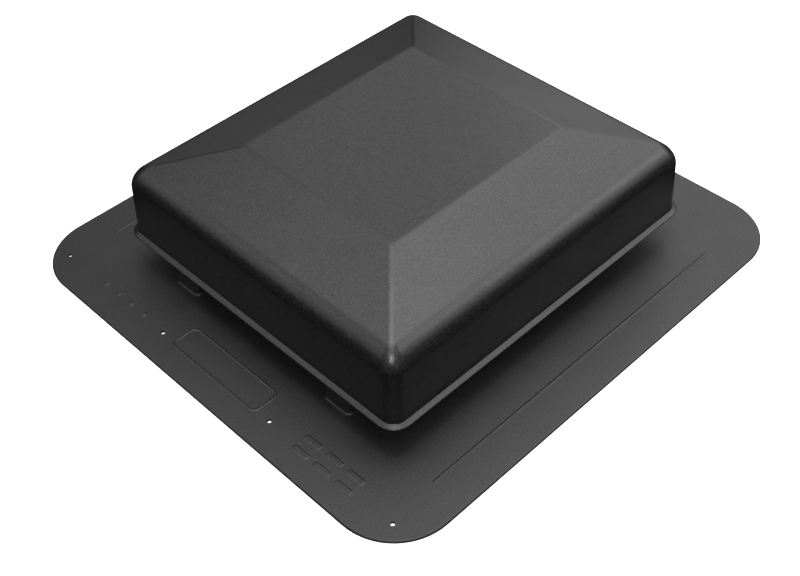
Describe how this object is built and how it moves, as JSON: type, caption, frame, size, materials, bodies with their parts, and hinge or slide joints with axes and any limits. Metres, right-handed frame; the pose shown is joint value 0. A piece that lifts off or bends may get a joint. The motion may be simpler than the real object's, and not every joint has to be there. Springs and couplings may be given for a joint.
{
  "type": "static roof vent",
  "caption": "Square static roof vent: thin flashing with rounded corners, raised screened throat and a hipped hood on short posts, open under its lip all round.",
  "frame": {"origin": "middle of the flashing's underside, where it rests on the roof deck", "axes": "+Z away from the roof deck, +Y up the roof slope, +X across the slope"},
  "size_m": [0.3938, 0.413, 0.1023],
  "materials": {
    "moulded_base": "fine spark-eroded grain, charcoal",
    "moulded_hood": "fine spark-eroded grain, charcoal",
    "screen_plastic": "plain moulded",
    "screen_wire": "plain-woven bright wire",
    "zinc_steel": "zinc plated"
  },
  "bodies": {
    "base": {"base_flashing": "moulded_base", "hood_screws": "zinc_steel", "screen_frame_downslope": "screen_plastic", "screen_mesh_downslope": "screen_wire", "screen_frame_right": "screen_plastic", "screen_mesh_right": "screen_wire", "screen_frame_upslope": "screen_plastic", "screen_mesh_upslope": "screen_wire", "screen_frame_left": "screen_plastic", "screen_mesh_left": "screen_wire"},
    "hood": {"hood": "moulded_hood"}
  },
  "joints": [
    {"name": "hood_lift", "type": "slide", "parent": "base", "child": "hood", "axis": [0, 0, 1], "range_m": [0, 0.12]}
  ]
}
